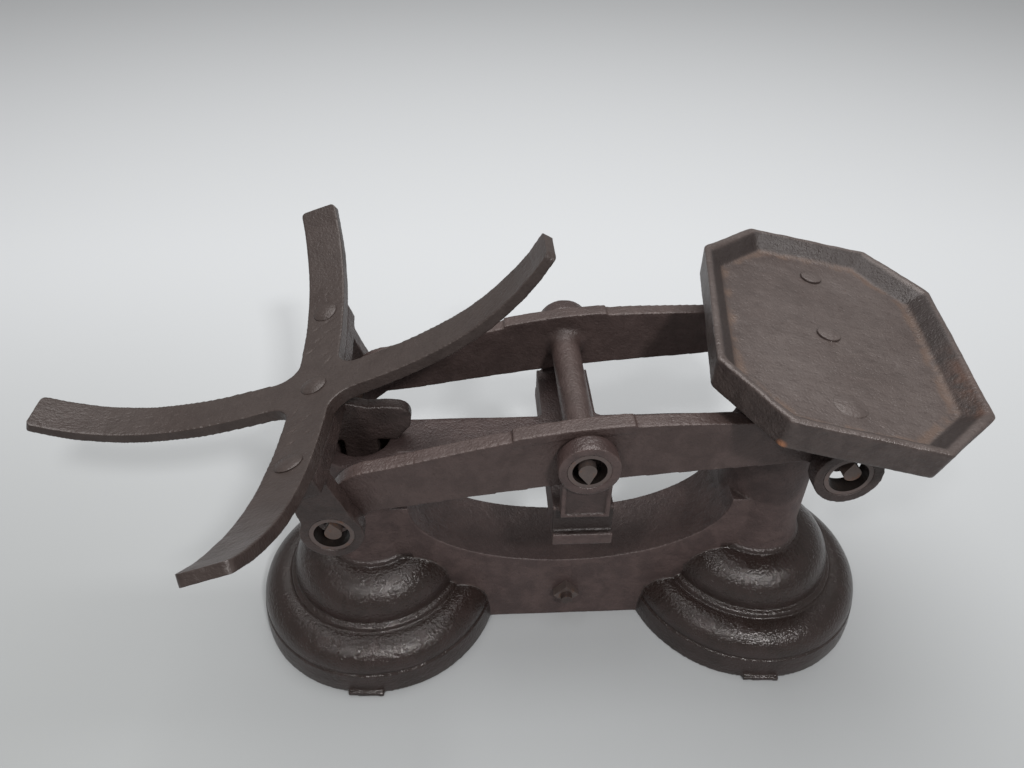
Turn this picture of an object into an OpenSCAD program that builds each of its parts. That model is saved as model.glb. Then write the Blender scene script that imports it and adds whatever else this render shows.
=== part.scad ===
// Cast-iron counter balance scale: two-armed beam on a twin-footed base, with a
// four-armed spider for the goods pan on the left and an octagonal plate for weights
// on the right. A stay under the bridge keeps both carriers upright.
// Origin: on the bench, midway between the feet. X to the right, Y to the back, Z up.

/* [Feet and columns] */
// Distance between the centres of the two feet
foot_spacing = 202.6; // [190:1:225]
// Radius of a foot at the bench
foot_r = 63.5; // [58:0.5:68]
// Height of the plain band at the bottom of a foot
band_h = 13.2; // [8:0.5:16]
// Depth of the groove above the band
groove_d = 1.4; // [0.5:0.1:2.5]
// Radius at the bead between the torus and the dome
bead_r = 45.4; // [42:0.2:48]
// Height of the bead
bead_z = 29.3; // [27:0.2:32]
// Radius of the neck ring at the top of the dome
neck_r = 24.4; // [23.5:0.1:26]
// Height of the neck ring
neck_z = 52.6; // [49:0.5:56]
// Radius of a column
column_r = 22; // [20.5:0.5:23]
// Wall of the hollow feet and columns
foot_wall = 5.5; // [4:0.1:6.5]
// Radius of the hole for a leg in the top of a column
leg_hole_r = 14; // [12.5:0.5:15]
// Width of a levelling pad on the rim of a foot
pad_w = 18; // [10:1:26]
// How far a levelling pad stands out from the rim
pad_out = 1.7; // [1:0.1:3]

/* [Bridge] */
// Depth of the bridge from front to back
bridge_w = 37.8; // [32:0.2:40]
// Wall of the bridge
bridge_wall = 4.5; // [3.5:0.1:6]
// Thickness of the deck
deck_t = 5; // [4:0.2:8]
// Height of the deck at the middle of its arc
deck_z = 45; // [42:0.5:50]
// Height of the ledges where the arc meets the columns
ledge_z = 86.5; // [82:0.5:92]
// Half of the width of the deck's arc
arc_half = 80.5; // [76:0.5:84]

/* [Rail and yoke] */
// Height of the top of the rail and the yoke
rail_z = 118; // [114:0.5:119]
// Width of the rail
rail_w = 24; // [18:0.5:26]
// Thickness of the rail
rail_t = 14; // [10:0.5:18]
// Width of the yoke that crosses the rail
yoke_w = 26.8; // [22:0.2:30]
// Thickness of the yoke
yoke_t = 20.5; // [16:0.5:22]
// Width of the uprights that carry the fulcrum eyes
upright_w = 21.2; // [18:0.2:24]
// How far the sunk face of an upright lies behind its eye
upright_sunk = 2.8; // [1:0.1:4]
// Width of the ribs beside the sunk face
upright_rib = 1.8; // [1:0.1:3]
// How far the cove over a toe stands out
cove_out = 2.4; // [2:0.1:4]
// How far a toe stands out
toe_out = 5.8; // [5:0.1:7]
// Height of a toe
toe_h = 6.4; // [5:0.1:8]

/* [Beam] */
// Height of the fulcrum edge
fulcrum_z = 137.5; // [136:0.5:140]
// Distance from the fulcrum edge to each end edge
beam_arm = 110.5; // [109:0.5:112]
// How far the end edges lie below the fulcrum edge
edge_drop = 5; // [3:0.5:6]
// Tilt of the beam at rest, goods side down
rest_tilt = 7; // [5:0.5:7.5]
// Inner faces of the two beam arms, from the middle
arm_in = 38.3; // [37:0.1:39]
// Thickness of a beam arm
arm_t = 7.7; // [6:0.1:8.2]
// Top of a beam arm over the fulcrum edge
arm_top_mid = 20.4; // [18:0.2:22]
// Top of a beam arm near its ends
arm_top_end = 11.6; // [10:0.2:12.4]
// Bottom of a beam arm under the fulcrum edge
arm_bot_mid = 8.4; // [7:0.2:10]
// Bottom of a beam arm near its ends
arm_bot_end = 11.3; // [10:0.2:13]
// Height of the raised hood over the fulcrum
hood_h = 1.2; // [0.6:0.1:2]
// Radius of the crossbar between the arms
crossbar_r = 7; // [5.5:0.1:8]
// Height of the crossbar's centre over the fulcrum edge
crossbar_z = 4.5; // [2:0.5:7]

/* [Knives and eyes] */
// Radius of the round back of the fulcrum knives
fulcrum_knife_r = 3.8; // [3:0.1:4.2]
// Height of the fulcrum knives
fulcrum_knife_h = 11.4; // [9.5:0.1:12]
// Radius of the round back of the end knives
end_knife_r = 3.7; // [3:0.1:4]
// Height of the end knives
end_knife_h = 10; // [8.5:0.1:11]
// Bore of the fulcrum bearings
fulcrum_bore_r = 7.3; // [7:0.1:8]
// Bore of the bearings on the goods side
goods_bore_r = 7.75; // [7.2:0.05:8.2]
// Bore of the bearings on the weights side
weights_bore_r = 8.5; // [7.6:0.1:8.8]
// Wall of the bearing rings
bearing_wall = 1.9; // [1.4:0.1:2.4]
// Outer radius of the fulcrum eyes
fulcrum_eye_r = 13.1; // [12.2:0.1:14]
// Outer radius of the goods eyes
goods_eye_r = 13.7; // [12.6:0.1:14.6]
// Outer radius of the weights eyes
weights_eye_r = 14.8; // [13.5:0.1:15.6]
// Inner face of the eyes, from the middle
eye_in = 48; // [47.5:0.1:49]
// Thickness of the eyes
eye_t = 8.5; // [7:0.1:10]
// Gap between a knife edge and its bearing
edge_gap = 0.1; // [0.05:0.01:0.2]

/* [Goods spider] */
// Middle of the spider's top, outboard of the goods knife edges
spider_out = 10.7; // [8:0.1:13]
// Middle of the spider's top, over the goods knife edges
spider_up = 30.3; // [29.3:0.1:33]
// Lean of the spider, to the left
spider_lean = 19.4; // [15:0.2:20]
// Width of the spider's arms
spider_w = 20; // [18:0.2:24]
// Thickness of the spider at its middle
spider_t = 6.6; // [5:0.1:7.2]
// Thickness of the spider's arms at their tips
spider_tip_t = 4.4; // [4:0.1:6]
// Length of the left arm
spider_left = 124; // [110:1:135]
// Length of the right arm
spider_right = 121; // [110:1:130]
// Length of the back arm
spider_back = 119; // [110:1:135]
// Length of the front arm
spider_front = 129; // [115:1:140]
// Rise of the arms' tips over the middle
spider_rise = 32.5; // [26:0.5:38]
// Fillet between neighbouring arms
spider_fillet = 11; // [6:0.5:16]
// Distance from the middle rivet to the outer ones
spider_rivet_y = 55; // [52:0.5:58]

/* [Weights plate] */
// Middle of the plate's rim, outboard of the weights knife edges
plate_out = 4.3; // [2:0.1:6]
// Middle of the plate's rim, over the weights knife edges
plate_up = 33; // [32.6:0.1:38]
// Lean of the plate, to the right
plate_lean = 8.6; // [4:0.1:9]
// Turn of the plate about the vertical, clockwise from above
plate_turn = 10.6; // [6:0.1:13]
// Length of the plate
plate_len = 158; // [150:0.5:170]
// Width of the plate
plate_w = 113.6; // [106:0.2:115]
// Corner cut across the plate's ends
plate_cut_x = 26.2; // [20:0.1:30]
// Corner cut along the plate's sides
plate_cut_y = 31; // [26:0.1:38]
// Depth of the tray inside the rim
tray_d = 7.5; // [5:0.1:9]
// Height of the rim outside
rim_h = 15.5; // [13:0.1:16]
// Flat land on top of the rim
rim_land = 3.4; // [2:0.1:5]
// Inward slope of the rim down to the floor
rim_slope = 7.4; // [5:0.1:10]
// Thickness of the plate's floor
floor_t = 2.8; // [2.6:0.1:3.4]
// Distance from the middle rivet to the outer ones
plate_rivet_y = 51; // [46:0.5:54]

/* [Carriers] */
// Width of the cross-bar under the spider
goods_bar_w = 19; // [15:0.5:20]
// Thickness of the cross-bar under the spider
goods_bar_t = 8.6; // [6:0.1:9]
// Width of the cross-bar under the plate
weights_bar_w = 13; // [12:0.5:15]
// Thickness of the cross-bar under the plate
weights_bar_t = 5; // [4:0.1:5.6]
// Thickness of the goods carrier's web, tongue and leg
goods_web_t = 7; // [6:0.1:8]
// Thickness of the weights carrier's web, tongue and leg
weights_web_t = 6; // [5:0.1:6.4]
// Width of the goods carrier's leg
goods_leg_w = 16; // [13:0.5:18]
// Width of the weights carrier's leg
weights_leg_w = 12; // [10:0.5:14]
// Tilt of the beam past level when the weights side rests on its stop
weights_stop = 3.5; // [2:0.1:3.5]
// Gap between a tongue and the rail when that side is down
tongue_gap = 0.3; // [0.2:0.05:0.6]
// Radius of the rivets' shanks
rivet_r = 3; // [2.4:0.1:3.4]
// Radius of the rivets' heads
rivet_head_r = 6.2; // [5:0.1:7]
// Height of the rivets' heads
rivet_head_h = 1.7; // [1:0.1:2.5]

/* [Stay] */
// Height of the stay's centre bolt
stay_z = 21.7; // [21:0.1:23]
// Height of the stay bar
stay_h = 12; // [9:0.5:13]
// Thickness of the stay bar
stay_t = 5; // [4:0.1:6]
// Radius of the eyes at the stay's ends
stay_eye_r = 6.8; // [6:0.1:7.2]
// Radius of the holes in the end eyes, loose on their pins
stay_hole_r = 3.3; // [3.2:0.05:3.5]
// Radius of the leg pins
leg_pin_r = 2.4; // [2:0.1:2.5]
// Radius of the boss at the middle of the stay
stay_boss_r = 9; // [7.5:0.1:10]
// Radius of the centre bolt
bolt_r = 3; // [2.5:0.1:3.5]
// Running clearance of the stay and its collars on the bolt
bolt_gap = 0.05; // [0.03:0.01:0.1]
// Width across the flats of the square nut and bolt head
nut_af = 9.6; // [8:0.1:11]
// Thickness of the square nut and bolt head
nut_t = 4.6; // [3.5:0.1:6]

/* [Hidden] */
$fn = 64;

iron = [0.26, 0.22, 0.21];
iron_light = [0.34, 0.3, 0.28];
steel = [0.45, 0.42, 0.4];
rust = [0.42, 0.27, 0.18];

foot_x = foot_spacing / 2;
arm_out = arm_in + arm_t;
eye_out = eye_in + eye_t;
bridge_y = bridge_w / 2;
// The bridge bottom and the feet lie on the bench together
bench_z = 0;
// Small overlap that joins the solids of one piece
weld = 0.6;
// How far a cut runs past the face it opens
past = 1;
// Gap under a curved seat, and around a shank in its hole
seat_gap = 0.15;
shank_gap = 0.05;

// Places of the knife edges at rest, turned with the beam about the fulcrum edge
function turned(x, z) = [x * cos(rest_tilt) - z * sin(rest_tilt), x * sin(rest_tilt) + z * cos(rest_tilt) + fulcrum_z];
goods_edge = turned(-beam_arm, -edge_drop);
weights_edge = turned(beam_arm, -edge_drop);
spider_x = spider_out - goods_edge[0];
spider_z = goods_edge[1] + spider_up;
plate_x = weights_edge[0] + plate_out;
plate_z = weights_edge[1] + plate_up;
// A leg hangs in the middle of its column, inboard of its knife edge
goods_leg_in = -goods_edge[0] - foot_x;
weights_leg_in = weights_edge[0] - foot_x;
// A carrier's leg pin lies under its knife edge, in the stay's eye when the beam is level
leg_drop = fulcrum_z - edge_drop - stay_z;
fulcrum_eye_z = fulcrum_z + fulcrum_bore_r - edge_gap;
goods_eye_z = goods_edge[1] - goods_bore_r + edge_gap;
weights_eye_z = weights_edge[1] - weights_bore_r + edge_gap;
// How far a tongue's foot lies below its knife edge, so that it lands on the rail
goods_tongue = goods_edge[1] - rail_z - tongue_gap;
weights_tongue = fulcrum_z - beam_arm * sin(weights_stop) - edge_drop * cos(weights_stop) - rail_z - tongue_gap;

// Points on an arc in a plane
function arc(cx, cy, r, a0, a1, n = 12) = [for (i = [0:n]) let (a = a0 + (a1 - a0) * i / n) [cx + r * cos(a), cy + r * sin(a)]];
function oct(a, b, ca, cb) = [[b - ca, a], [b, a - cb], [b, -(a - cb)], [b - ca, -a],
    [-(b - ca), -a], [-b, -(a - cb)], [-b, a - cb], [-(b - ca), a]];

// A plate drawn in the XZ plane, from y0 to y1
module xz_plate(points, y0, y1) {
    translate([0, y1, 0]) rotate([90, 0, 0]) linear_extrude(y1 - y0) polygon(points);
}

// A round bar along Y, from y0 to y1
module y_bar(x, z, r, y0, y1) {
    translate([x, y1, z]) rotate([90, 0, 0]) cylinder(r = r, h = y1 - y0);
}

// Outer outline of a foot and column, as radius and height
foot_outline = concat(
    [[0, bench_z], [foot_r, bench_z], [foot_r, band_h * 0.5], [foot_r - 0.7, band_h],
     [foot_r - 0.7 - groove_d, band_h + 0.4], [foot_r - 0.7 - groove_d, band_h + 1], [foot_r - 1.3, band_h + 1.6]],
    [for (i = [0:10]) let (a = 90 * i / 10)
        [bead_r + 3.4 + (foot_r - bead_r - 4.7) * cos(a), band_h + 1.9 + (bead_z - band_h - 3.5) * sin(a)]],
    [[bead_r + 1.5, bead_z - 1.8], [bead_r + 1.3, bead_z - 0.4], [bead_r + 0.7, bead_z + 0.5],
     [bead_r - 0.4, bead_z + 1], [bead_r - 1.3, bead_z + 1.1]],
    [for (i = [0:10]) let (a = 90 * i / 10)
        [neck_r + (bead_r - 1.6 - neck_r) * cos(a), bead_z + 1.4 + (neck_z - bead_z - 2.6) * pow(sin(a), 0.9)]],
    [[neck_r + 0.4, neck_z - 0.4], [neck_r, neck_z + 0.7], [column_r + 1.4, neck_z + 1.3],
     [column_r + 0.6, neck_z + 5], [column_r, neck_z + 12], [column_r, rail_z], [0, rail_z]]);

// Inside of a foot and column: a bell, a bore and the leg hole at the top
bell_h = neck_z - foot_wall + 1;
foot_hollow = concat(
    [[0, bench_z - past], [foot_r - foot_wall, bench_z - past]],
    [for (i = [0:8]) let (a = 90 * i / 8)
        [column_r - foot_wall + (foot_r - column_r) * pow(cos(a), 1.25), 4 + (bell_h - 4) * pow(sin(a), 1.5)]],
    [[column_r - foot_wall, rail_z - foot_wall * 1.5], [leg_hole_r, rail_z - foot_wall * 1.5],
     [leg_hole_r, rail_z + past], [0, rail_z + past]]);

arc_b = ledge_z - deck_z;
function arc_z(x) = ledge_z - arc_b * sqrt(max(0, 1 - pow(x / arc_half, 2)));
function under_z(x) = ledge_z - (arc_b + deck_t) * sqrt(max(0, 1 - pow(x / (arc_half + deck_t), 2)));
arc_x = [for (i = [-40:40]) arc_half * sin(90 * i / 40)];
tunnel_x = foot_x - column_r * 0.5;
tunnel_top = neck_z - foot_wall;
tunnel_steps = [for (i = [-20:20]) tunnel_x * i / 20];

module foot(side) {
    translate([side * foot_x, 0, 0]) rotate_extrude() polygon(foot_outline);
    for (a = [-93, 93]) rotate([0, 0, 0]) translate([side * foot_x, 0, 0]) rotate([0, 0, a])
        translate([foot_r - 3, -pad_w / 2, bench_z]) cube([3 + pad_out, pad_w, 2.6]);
}

module base_casting() {
    bridge_outline = concat([[-foot_x, bench_z], [-foot_x, ledge_z]], [for (x = arc_x) [x, arc_z(x)]],
        [[foot_x, ledge_z], [foot_x, bench_z]]);
    tunnel_outline = concat([[-tunnel_x, bench_z - past]],
        [for (x = tunnel_steps) [x, min(tunnel_top, under_z(x))]], [[tunnel_x, bench_z - past]]);
    upright_foot = rail_z - 2;
    color(iron) difference() {
        union() {
            for (side = [-1, 1]) foot(side);
            xz_plate(bridge_outline, -bridge_y, bridge_y);
            translate([-foot_x, -rail_w / 2, rail_z - rail_t]) cube([2 * foot_x, rail_w, rail_t]);
            translate([-yoke_w / 2, -eye_in - 2, rail_z - yoke_t]) cube([yoke_w, 2 * eye_in + 4, yoke_t]);
            // Rounded corners where the yoke crosses the rail
            for (sx = [-1, 1], sy = [-1, 1]) translate([sx * yoke_w / 2, sy * rail_w / 2, rail_z - rail_t])
                difference() {
                    translate([sx > 0 ? -weld : -3, sy > 0 ? -weld : -3, 0]) cube([3 + weld, 3 + weld, rail_t]);
                    translate([sx * 3, sy * 3, -past]) cylinder(r = 3, h = rail_t + 2 * past);
                }
            for (sy = [-1, 1]) {
                // An upright with a sunk face between two ribs, over a cove and a toe
                translate([-yoke_w / 2, sy > 0 ? eye_in : -eye_in - cove_out, rail_z - yoke_t])
                    cube([yoke_w, cove_out, yoke_t - 1]);
                translate([-yoke_w / 2, sy > 0 ? eye_in : -eye_in - toe_out, rail_z - yoke_t])
                    cube([yoke_w, toe_out, toe_h]);
                translate([-upright_w / 2, sy > 0 ? eye_in : -eye_out + upright_sunk, upright_foot])
                    cube([upright_w, eye_t - upright_sunk, fulcrum_eye_z - upright_foot]);
                translate([-upright_w / 2, sy > 0 ? eye_in : -eye_out + upright_sunk - 1, upright_foot])
                    cube([upright_w, eye_t - upright_sunk + 1, 1.4]);
                for (sx = [-1, 1])
                    translate([sx > 0 ? upright_w / 2 - upright_rib : -upright_w / 2,
                        sy > 0 ? eye_in : -eye_out + upright_sunk - 1, upright_foot])
                        cube([upright_rib, eye_t - upright_sunk + 1, fulcrum_eye_z - upright_foot]);
                y_bar(0, fulcrum_eye_z, fulcrum_eye_r, sy > 0 ? eye_in : -eye_out, sy > 0 ? eye_out : -eye_in);
            }
        }
        for (side = [-1, 1]) translate([side * foot_x, 0, 0]) rotate_extrude() polygon(foot_hollow);
        xz_plate(tunnel_outline, -bridge_y + bridge_wall, bridge_y - bridge_wall);
        y_bar(0, stay_z, bolt_r + shank_gap, -bridge_y - past, bridge_y + past);
        for (sy = [-1, 1])
            y_bar(0, fulcrum_eye_z, fulcrum_bore_r + bearing_wall, sy > 0 ? eye_in - past : -eye_out - past,
                sy > 0 ? eye_out + past : -eye_in + past);
    }
}

// A bearing ring pressed into an eye, on the front (-1) or the back (1)
module bearing(x, z, bore, sy) {
    color(steel) difference() {
        y_bar(x, z, bore + bearing_wall, sy > 0 ? eye_in : -eye_out + 0.4, sy > 0 ? eye_out - 0.4 : -eye_in);
        y_bar(x, z, bore, sy > 0 ? eye_in - past : -eye_out - past, sy > 0 ? eye_out + past : -eye_in + past);
    }
}

module fulcrum_bearing_front() { bearing(0, fulcrum_eye_z, fulcrum_bore_r, -1); }
module fulcrum_bearing_rear() { bearing(0, fulcrum_eye_z, fulcrum_bore_r, 1); }

bolt_tail = 3.4;
module stay_bolt() {
    color(steel) union() {
        y_bar(0, stay_z, bolt_r, -bridge_y - nut_t - bolt_tail, bridge_y + weld);
        translate([0, bridge_y, stay_z]) rotate([0, 45, 0]) translate([-nut_af / 2, 0, -nut_af / 2])
            cube([nut_af, nut_t, nut_af]);
    }
}

module stay_nut() {
    color(steel) difference() {
        translate([0, -bridge_y - nut_t, stay_z]) rotate([0, 45, 0]) translate([-nut_af / 2, 0, -nut_af / 2])
            cube([nut_af, nut_t, nut_af]);
        y_bar(0, stay_z, bolt_r + shank_gap, -bridge_y - nut_t - past, -bridge_y + past);
    }
}

stay_boss_t = 9;
collar_gap = 0.3;
module collar(sy) {
    inner = stay_boss_t / 2 + collar_gap;
    outer = bridge_y - bridge_wall;
    color(steel) difference() {
        y_bar(0, stay_z, bolt_r + 2.6, sy > 0 ? inner : -outer, sy > 0 ? outer : -inner);
        y_bar(0, stay_z, bolt_r + bolt_gap, -bridge_y, bridge_y);
    }
}

module stay_collar_front() { collar(-1); }
module stay_collar_rear() { collar(1); }

// Outline of a knife with its edge at the origin, pointing down (dir -1) or up (dir 1)
module knife_shape(r, h, dir) {
    c = h - r;
    a = asin(r / c);
    polygon(concat([[0, 0]], [for (i = [0:20]) let (t = a - (180 + 2 * a) * i / 20) [r * cos(t), dir * (r * sin(t) - c)]]));
}

// A knife seated in the beam, in the beam's own level frame
module knife_solid(x, z, r, h, dir, y0, y1) {
    translate([x, y1, z]) rotate([90, 0, 0]) linear_extrude(y1 - y0) knife_shape(r, h, dir);
}

module on_beam() { translate([0, 0, fulcrum_z]) rotate([0, -rest_tilt, 0]) children(); }

// A beam arm's top and bottom, by the distance from the fulcrum
arm_flat = beam_arm - 16.5;
function arm_top(x) = arm_top_end + (arm_top_mid - arm_top_end) * pow(cos(90 * min(1, abs(x) / arm_flat)), 1.3);
function arm_bot(x) = -arm_bot_mid - (arm_bot_end - arm_bot_mid) * min(1, pow(abs(x) / (0.85 * arm_flat), 1.4));
boss_z = -edge_drop - end_knife_h + end_knife_r;
boss_r = end_knife_r + 5.4;
arm_steps = [for (i = [-16:16]) arm_flat * i / 16];
arm_outline = concat(
    [for (x = arm_steps) [x, arm_top(x)]],
    arc(arm_flat - 2, arm_top_end - 20, 20, 78, 40, 6),
    [for (p = arc(beam_arm, boss_z, boss_r, 30, -110, 8)) p],
    [for (i = [16:-1:-16]) [arm_flat * i / 16, arm_bot(arm_flat * i / 16)]],
    [for (p = arc(-beam_arm, boss_z, boss_r, -70, -210, 8)) p],
    arc(-arm_flat + 2, arm_top_end - 20, 20, 140, 102, 6));
hood_left = -29;
hood_right = 22;
hood_steps = [for (i = [0:10]) hood_left + (hood_right - hood_left) * i / 10];
hood_outline = concat([for (x = hood_steps) [x, arm_top(x) - 3]],
    [for (i = [10:-1:0]) [hood_steps[i], arm_top(hood_steps[i]) + hood_h]]);

module beam_casting() {
    color(iron_light) on_beam() difference() {
        union() {
            for (y0 = [-arm_out, arm_in]) xz_plate(arm_outline, y0, y0 + arm_t);
            for (y0 = [-arm_out - 0.4, arm_in]) xz_plate(hood_outline, y0, y0 + arm_t + 0.4);
            y_bar(0, crossbar_z, crossbar_r, -arm_in - weld, arm_in + weld);
            for (sy = [-1, 1]) translate([0, sy * (arm_in + weld), crossbar_z]) rotate([sy * 90, 0, 0])
                rotate_extrude() polygon(concat([[0, 0], [crossbar_r + 4.4, 0], [crossbar_r + 4.4, weld]],
                    [for (i = [1:6]) let (a = 15 * i)
                        [crossbar_r + 4.4 * (1 - sin(a)), weld + 6.5 * (1 - cos(a))]], [[0, weld + 6.5]]));
        }
        for (y0 = [-arm_out - past, arm_in - past - 1]) {
            knife_solid(0, 0, fulcrum_knife_r, fulcrum_knife_h, -1, y0, y0 + arm_t + 2 * past + 1);
            for (sx = [-1, 1])
                knife_solid(sx * beam_arm, -edge_drop, end_knife_r, end_knife_h, 1, y0, y0 + arm_t + 2 * past + 1);
        }
    }
}

knife_proud = 0.2;
module knife(x, z, r, h, dir, sy) {
    color(steel) on_beam() knife_solid(x, z, r, h, dir, sy > 0 ? arm_in : -eye_out - knife_proud,
        sy > 0 ? eye_out + knife_proud : -arm_in);
}

module fulcrum_knife_front() { knife(0, 0, fulcrum_knife_r, fulcrum_knife_h, -1, -1); }
module fulcrum_knife_rear() { knife(0, 0, fulcrum_knife_r, fulcrum_knife_h, -1, 1); }
module goods_knife_front() { knife(-beam_arm, -edge_drop, end_knife_r, end_knife_h, 1, -1); }
module goods_knife_rear() { knife(-beam_arm, -edge_drop, end_knife_r, end_knife_h, 1, 1); }
module weights_knife_front() { knife(beam_arm, -edge_drop, end_knife_r, end_knife_h, 1, -1); }
module weights_knife_rear() { knife(beam_arm, -edge_drop, end_knife_r, end_knife_h, 1, 1); }

// The leaning frames of the spider's top and of the plate's rim
module on_spider() {
    translate([-spider_x, 0, spider_z]) rotate([0, -spider_lean, 0]) children();
}
module on_plate() {
    translate([plate_x, 0, plate_z]) rotate([0, plate_lean, -plate_turn]) children();
}

// Rise of a spider arm at a distance from the middle, with a share of it as a plain bow
function rise(s, len, bow) = spider_rise * (bow * pow(s / len, 2) + (1 - bow) * pow(s / len, 4));
function slope(s, len, bow) = atan(spider_rise * (2 * bow * s / len + 4 * (1 - bow) * pow(s / len, 3)) / len);
bow_x = 0.38;
bow_y = 0.55;
strip_n = 14;
function strip_top(l1, l2, bow) = concat([for (i = [strip_n:-1:1]) [-l1 * i / strip_n, rise(l1 * i / strip_n, l1, bow)]],
    [for (i = [0:strip_n]) [l2 * i / strip_n, rise(l2 * i / strip_n, l2, bow)]]);
function arm_thick(s, len) = spider_t - (spider_t - spider_tip_t) * s / len;
function strip_under(l1, l2, bow) = concat(
    [for (i = [strip_n:-1:0]) let (s = l2 * i / strip_n, a = slope(s, l2, bow), t = arm_thick(s, l2))
        [s + t * sin(a), rise(s, l2, bow) - t * cos(a)]],
    [for (i = [1:strip_n]) let (s = l1 * i / strip_n, a = slope(s, l1, bow), t = arm_thick(s, l1))
        [-s - t * sin(a), rise(s, l1, bow) - t * cos(a)]]);

// Length of a rivet's shank: it is driven into the cross-bar and ends inside it
function goods_grip(sy) = let (len = sy > 0 ? spider_back : spider_front, y = abs(sy) * spider_rivet_y)
    (arm_thick(y, len) / cos(slope(y, len, bow_y)) + goods_bar_t) * cos(slope(y, len, bow_y)) - 1.5;
weights_grip = floor_t + weights_bar_t - 1;
module goods_rivet_place(sy) {
    len = sy > 0 ? spider_back : spider_front;
    y = abs(sy) * spider_rivet_y;
    translate([0, sy * y, rise(y, len, bow_y)]) rotate([sy * slope(y, len, bow_y), 0, 0]) children();
}
module weights_rivet_place(sy) { translate([0, sy * plate_rivet_y, -tray_d]) children(); }
module rivet_hole(grip) { translate([0, 0, -grip - shank_gap]) cylinder(r = rivet_r + shank_gap, h = grip + 12); }

module goods_spider() {
    color(iron_light) on_spider() difference() {
        union() {
            xz_plate(concat(strip_top(spider_left, spider_right, bow_x),
                strip_under(spider_left, spider_right, bow_x)), -spider_w / 2, spider_w / 2);
            rotate([0, 0, 90]) xz_plate(concat(strip_top(spider_front, spider_back, bow_y),
                strip_under(spider_front, spider_back, bow_y)), -spider_w / 2, spider_w / 2);
            for (sx = [-1, 1], sy = [-1, 1]) translate([sx * spider_w / 2, sy * spider_w / 2, -spider_t])
                difference() {
                    translate([sx > 0 ? -weld : -spider_fillet, sy > 0 ? -weld : -spider_fillet, 0.3])
                        cube([spider_fillet + weld, spider_fillet + weld, spider_t - 0.1]);
                    translate([sx * spider_fillet, sy * spider_fillet, -past])
                        cylinder(r = spider_fillet, h = spider_t + 2 * past + 1);
                }
        }
        for (sy = [-1, 0, 1]) goods_rivet_place(sy) rivet_hole(goods_grip(sy));
    }
}

// A rivet with a domed head on top
module rivet(grip) {
    dome = (rivet_head_r * rivet_head_r + rivet_head_h * rivet_head_h) / (2 * rivet_head_h);
    rotate_extrude() polygon(concat([[0, -grip], [rivet_r, -grip], [rivet_r, seat_gap]],
        [for (i = [0:6]) let (a = asin(rivet_head_r / dome) * (1 - i / 6))
            [dome * sin(a), rivet_head_h - dome + dome * cos(a) + seat_gap]]));
}

module goods_rivets() {
    color(iron) on_spider() for (sy = [-1, 0, 1]) goods_rivet_place(sy) rivet(goods_grip(sy));
}

bar_half = 64;
bar_steps = 10;
function bar_under(y) = let (len = y > 0 ? spider_back : spider_front) 
    rise(abs(y), len, bow_y) - arm_thick(abs(y), len) / cos(slope(abs(y), len, bow_y)) - seat_gap;
function spider_at(x, z) = [-spider_x + x * cos(spider_lean) - z * sin(spider_lean),
    spider_z + x * sin(spider_lean) + z * cos(spider_lean)];
function plate_at(x, z, y) = [plate_x + (x * cos(plate_lean) + z * sin(plate_lean)) / cos(plate_turn) + y * tan(plate_turn),
    plate_z - x * sin(plate_lean) + z * cos(plate_lean)];

// A leg with its forked foot, in a frame with the knife edge at the origin; inboard is +X
fork_t = 14;
fork_r = 7.4;
fork_slot = stay_t + 0.8;
fork_top = -leg_drop + fork_r + 1.5;
module leg(top, w, t, leg_in) {
    x0 = leg_in - w / 2;
    x1 = leg_in + w / 2;
    difference() {
        union() {
            xz_plate([[x0, top], [x1, top], [x1, fork_top + 34], [6.5, fork_top], [6.5, -leg_drop], [-6.5, -leg_drop],
                [-6.5, fork_top], [x0, fork_top + 24]], -t / 2, t / 2);
            translate([-fork_r, -fork_t / 2, -leg_drop]) cube([2 * fork_r, fork_t, fork_top + leg_drop]);
            y_bar(0, -leg_drop, fork_r, -fork_t / 2, fork_t / 2);
        }
        y_bar(0, -leg_drop, leg_pin_r + shank_gap, -fork_t, fork_t);
        translate([-fork_r - past, -fork_slot / 2, -leg_drop - fork_r - past])
            cube([2 * fork_r + 2 * past, fork_slot, fork_top + leg_drop + fork_r + past - 1.2]);
    }
}

// The tongue that stops a carrier on the rail, in the same frame as a leg
tongue_len = leg_hole_r + 11.5;
tongue_h = 19.5;
module tongue(drop, w, t, leg_in) {
    tip = leg_in + tongue_len;
    foot_z = -drop;
    top_z = foot_z + tongue_h;
    xz_plate(concat([[leg_in - w / 2 - 4, foot_z], [leg_in - w / 2 - 4, top_z], [tip - 12, top_z + 0.6]],
        arc(tip - 7, top_z - 6.4, 6.4, 80, 0, 5),
        [[tip - 1.4, foot_z + 8], [tip - 8, foot_z], [leg_in, foot_z]]), -t / 2, t / 2);
}

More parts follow.
